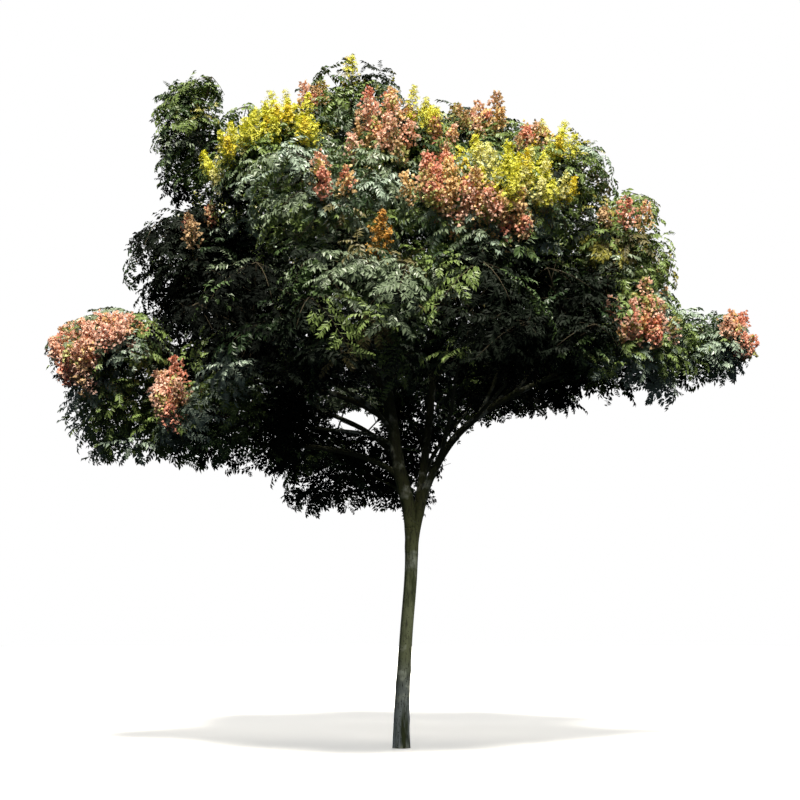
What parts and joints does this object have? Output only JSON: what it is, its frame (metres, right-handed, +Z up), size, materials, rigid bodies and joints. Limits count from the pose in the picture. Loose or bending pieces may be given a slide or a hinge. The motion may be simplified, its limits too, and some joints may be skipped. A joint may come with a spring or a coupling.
{
  "type": "golden rain tree",
  "caption": "Rooted golden rain tree: slender leaning trunk forked above head height, broad leafy crown with golden panicles and papery red fruit.",
  "frame": {"origin": "centre of the flat cut under the trunk, at ground level", "axes": "+Z up along the growth, -Y towards the front of the picture, +X to the picture's right"},
  "size_m": [9.1139, 7.7531, 9.0239],
  "materials": {
    "bark": "rough fissured bark",
    "foliage": "glossy green leaves",
    "blossom": "soft golden petals",
    "fruit": "papery salmon red capsules"
  },
  "bodies": {
    "root": {"trunk": "bark", "limb_leader": "bark", "limb_right": "bark", "limb_middle": "bark", "bough_spire_left": "bark", "bough_crest_left": "bark", "bough_crest_middle": "bark", "bough_crest_back": "bark", "bough_shoulder_right": "bark", "bough_flank_right": "bark", "bough_arm_right": "bark", "bough_under_right": "bark", "bough_flank_left": "bark", "bough_arm_left": "bark", "bough_arm_left_low": "bark", "bough_low_left": "bark", "bough_inner_left": "bark", "bough_front_left": "bark", "bough_front_middle": "bark", "bough_front_right": "bark", "bough_front_far_right": "bark", "bough_brow_left": "bark", "bough_brow_right": "bark", "bough_back_left": "bark", "bough_back_middle": "bark", "bough_back_right": "bark", "bough_back_far_right": "bark", "bough_back_low_left": "bark", "bough_back_low_middle": "bark", "bough_back_low_right": "bark", "foliage_crest_peak": "foliage", "foliage_low_right": "foliage", "foliage_crest_right": "foliage", "foliage_spire_left": "foliage", "foliage_crest_left": "foliage", "foliage_crest_middle": "foliage", "foliage_crest_back": "foliage", "foliage_shoulder_right": "foliage", "foliage_flank_right": "foliage", "foliage_arm_right": "foliage", "foliage_under_right": "foliage", "foliage_flank_left": "foliage", "foliage_arm_left": "foliage", "foliage_arm_left_low": "foliage", "foliage_low_left": "foliage", "foliage_inner_left": "foliage", "foliage_front_left": "foliage", "foliage_front_middle": "foliage", "foliage_front_right": "foliage", "foliage_front_far_right": "foliage", "foliage_brow_left": "foliage", "foliage_brow_right": "foliage", "foliage_back_left": "foliage", "foliage_back_middle": "foliage", "foliage_back_right": "foliage", "foliage_back_far_right": "foliage", "foliage_back_low_left": "foliage", "foliage_back_low_middle": "foliage", "foliage_back_low_right": "foliage"}
  },
  "joints": []
}
